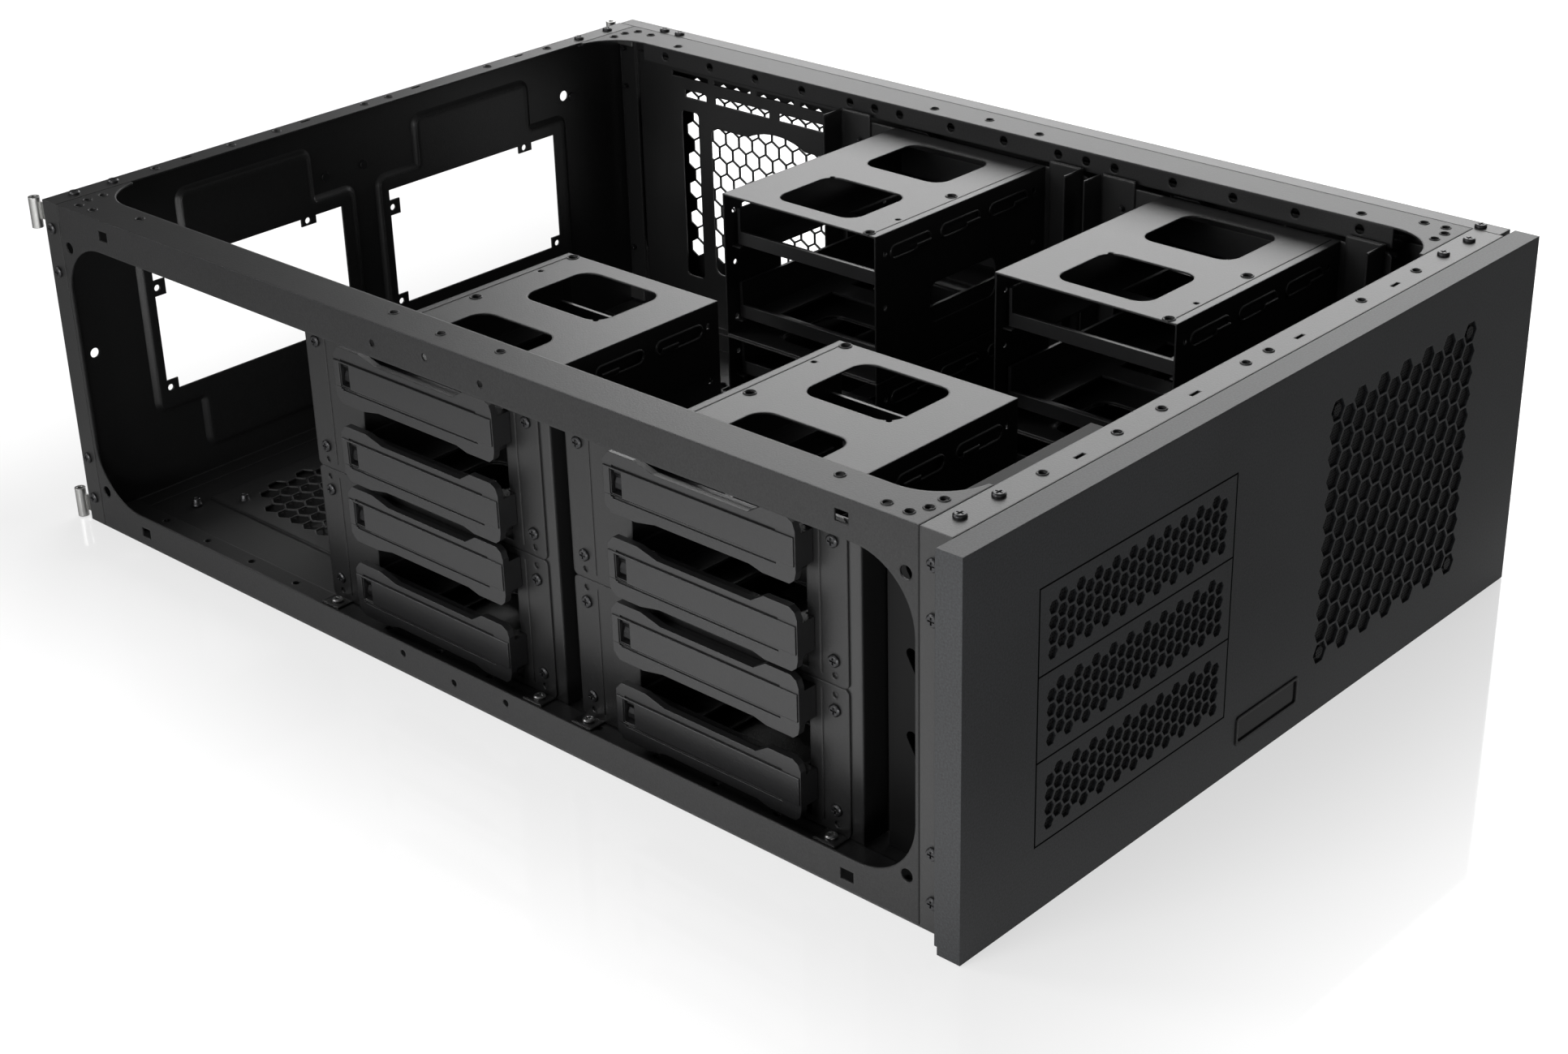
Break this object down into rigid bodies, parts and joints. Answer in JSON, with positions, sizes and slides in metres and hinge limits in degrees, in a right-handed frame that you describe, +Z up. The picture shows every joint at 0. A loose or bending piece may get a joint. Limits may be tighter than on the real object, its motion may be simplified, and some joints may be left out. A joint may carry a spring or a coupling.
{
  "type": "empty rackmount server case",
  "caption": "Low open-frame steel computer case with drive cages, sliding trays, a vented front panel, power supply cut-outs and a hinged side door.",
  "frame": {"origin": "bottom centre of the case", "axes": "+X to the right when facing the front panel, +Y to the rear, +Z up"},
  "size_m": [0.48, 0.6912, 0.2037],
  "materials": {
    "black_steel": "fine textured satin powder coat",
    "cover_plastic": "fine textured satin powder coat",
    "tray_plastic": "fine grained matte",
    "filter_mesh": "fine woven mesh",
    "fasteners": "black nickel",
    "bright_screws": "nickel",
    "bare_steel": "bare rolled steel",
    "badge_plastic": "gloss"
  },
  "bodies": {
    "case": {"left_side_frame": "black_steel", "right_side_frame": "black_steel", "front_rail": "black_steel", "rear_panel": "black_steel", "floor_plate": "black_steel", "front_panel": "black_steel", "badge_plate": "badge_plastic", "vent_filter": "filter_mesh", "bay_cover_lower": "cover_plastic", "bay_cover_middle": "cover_plastic", "bay_cover_upper": "cover_plastic", "bay_cover_lower_mesh": "filter_mesh", "bay_cover_middle_mesh": "filter_mesh", "bay_cover_upper_mesh": "filter_mesh", "bay_cage": "black_steel", "fan_bracket": "black_steel", "left_hinge_barrels": "bare_steel", "right_hinge_barrels": "bare_steel", "rear_rivets": "fasteners", "frame_screws": "fasteners", "cage_screws": "fasteners", "foot_screws": "bright_screws", "cage_left_rear_lower": "black_steel", "cage_left_rear_upper": "black_steel", "post_left_rear_back": "black_steel", "post_left_rear_fore": "black_steel", "cage_left_front_lower": "black_steel", "cage_left_front_upper": "black_steel", "post_left_front_back": "black_steel", "post_left_front_fore": "black_steel", "cage_right_rear_lower": "black_steel", "cage_right_rear_upper": "black_steel", "post_right_rear_back": "black_steel", "post_right_rear_fore": "black_steel", "cage_right_front_lower": "black_steel", "cage_right_front_upper": "black_steel", "post_right_front_back": "black_steel", "post_right_front_fore": "black_steel"},
    "tray_left_rear_lower_1": {"tray_left_rear_lower_1": "tray_plastic"},
    "tray_left_rear_lower_2": {"tray_left_rear_lower_2": "tray_plastic"},
    "tray_left_rear_upper_1": {"tray_left_rear_upper_1": "tray_plastic"},
    "tray_left_rear_upper_2": {"tray_left_rear_upper_2": "tray_plastic"},
    "tray_left_front_lower_1": {"tray_left_front_lower_1": "tray_plastic"},
    "tray_left_front_lower_2": {"tray_left_front_lower_2": "tray_plastic"},
    "tray_left_front_upper_1": {"tray_left_front_upper_1": "tray_plastic"},
    "tray_left_front_upper_2": {"tray_left_front_upper_2": "tray_plastic"},
    "tray_right_rear_lower_1": {"tray_right_rear_lower_1": "tray_plastic"},
    "tray_right_rear_lower_2": {"tray_right_rear_lower_2": "tray_plastic"},
    "tray_right_rear_upper_1": {"tray_right_rear_upper_1": "tray_plastic"},
    "tray_right_rear_upper_2": {"tray_right_rear_upper_2": "tray_plastic"},
    "tray_right_front_lower_1": {"tray_right_front_lower_1": "tray_plastic"},
    "tray_right_front_lower_2": {"tray_right_front_lower_2": "tray_plastic"},
    "tray_right_front_upper_1": {"tray_right_front_upper_1": "tray_plastic"},
    "tray_right_front_upper_2": {"tray_right_front_upper_2": "tray_plastic"},
    "right_door": {"right_door": "black_steel", "door_hinge_pins": "bare_steel", "door_screws": "fasteners"}
  },
  "joints": [
    {"name": "tray_left_rear_lower_1_slide", "type": "slide", "parent": "case", "child": "tray_left_rear_lower_1", "axis": [-1, 0, 0], "range_m": [0, 0.016]},
    {"name": "tray_left_rear_lower_2_slide", "type": "slide", "parent": "case", "child": "tray_left_rear_lower_2", "axis": [-1, 0, 0], "range_m": [0, 0.13]},
    {"name": "tray_left_rear_upper_1_slide", "type": "slide", "parent": "case", "child": "tray_left_rear_upper_1", "axis": [-1, 0, 0], "range_m": [0, 0.13]},
    {"name": "tray_left_rear_upper_2_slide", "type": "slide", "parent": "case", "child": "tray_left_rear_upper_2", "axis": [-1, 0, 0], "range_m": [0, 0.13]},
    {"name": "tray_left_front_lower_1_slide", "type": "slide", "parent": "case", "child": "tray_left_front_lower_1", "axis": [-1, 0, 0], "range_m": [0, 0.016]},
    {"name": "tray_left_front_lower_2_slide", "type": "slide", "parent": "case", "child": "tray_left_front_lower_2", "axis": [-1, 0, 0], "range_m": [0, 0.13]},
    {"name": "tray_left_front_upper_1_slide", "type": "slide", "parent": "case", "child": "tray_left_front_upper_1", "axis": [-1, 0, 0], "range_m": [0, 0.13]},
    {"name": "tray_left_front_upper_2_slide", "type": "slide", "parent": "case", "child": "tray_left_front_upper_2", "axis": [-1, 0, 0], "range_m": [0, 0.13]},
    {"name": "tray_right_rear_lower_1_slide", "type": "slide", "parent": "case", "child": "tray_right_rear_lower_1", "axis": [1, 0, 0], "range_m": [0, 0.008]},
    {"name": "tray_right_rear_lower_2_slide", "type": "slide", "parent": "case", "child": "tray_right_rear_lower_2", "axis": [1, 0, 0], "range_m": [0, 0.008]},
    {"name": "tray_right_rear_upper_1_slide", "type": "slide", "parent": "case", "child": "tray_right_rear_upper_1", "axis": [1, 0, 0], "range_m": [0, 0.008]},
    {"name": "tray_right_rear_upper_2_slide", "type": "slide", "parent": "case", "child": "tray_right_rear_upper_2", "axis": [1, 0, 0], "range_m": [0, 0.008]},
    {"name": "tray_right_front_lower_1_slide", "type": "slide", "parent": "case", "child": "tray_right_front_lower_1", "axis": [1, 0, 0], "range_m": [0, 0.008]},
    {"name": "tray_right_front_lower_2_slide", "type": "slide", "parent": "case", "child": "tray_right_front_lower_2", "axis": [1, 0, 0], "range_m": [0, 0.008]},
    {"name": "tray_right_front_upper_1_slide", "type": "slide", "parent": "case", "child": "tray_right_front_upper_1", "axis": [1, 0, 0], "range_m": [0, 0.008]},
    {"name": "tray_right_front_upper_2_slide", "type": "slide", "parent": "case", "child": "tray_right_front_upper_2", "axis": [1, 0, 0], "range_m": [0, 0.008]},
    {"name": "right_door_hinge", "type": "hinge", "parent": "case", "child": "right_door", "pos_m": [0.2285, 0.34235, 0.1], "axis": [0, 0, 1], "range_deg": [0, 110]}
  ]
}
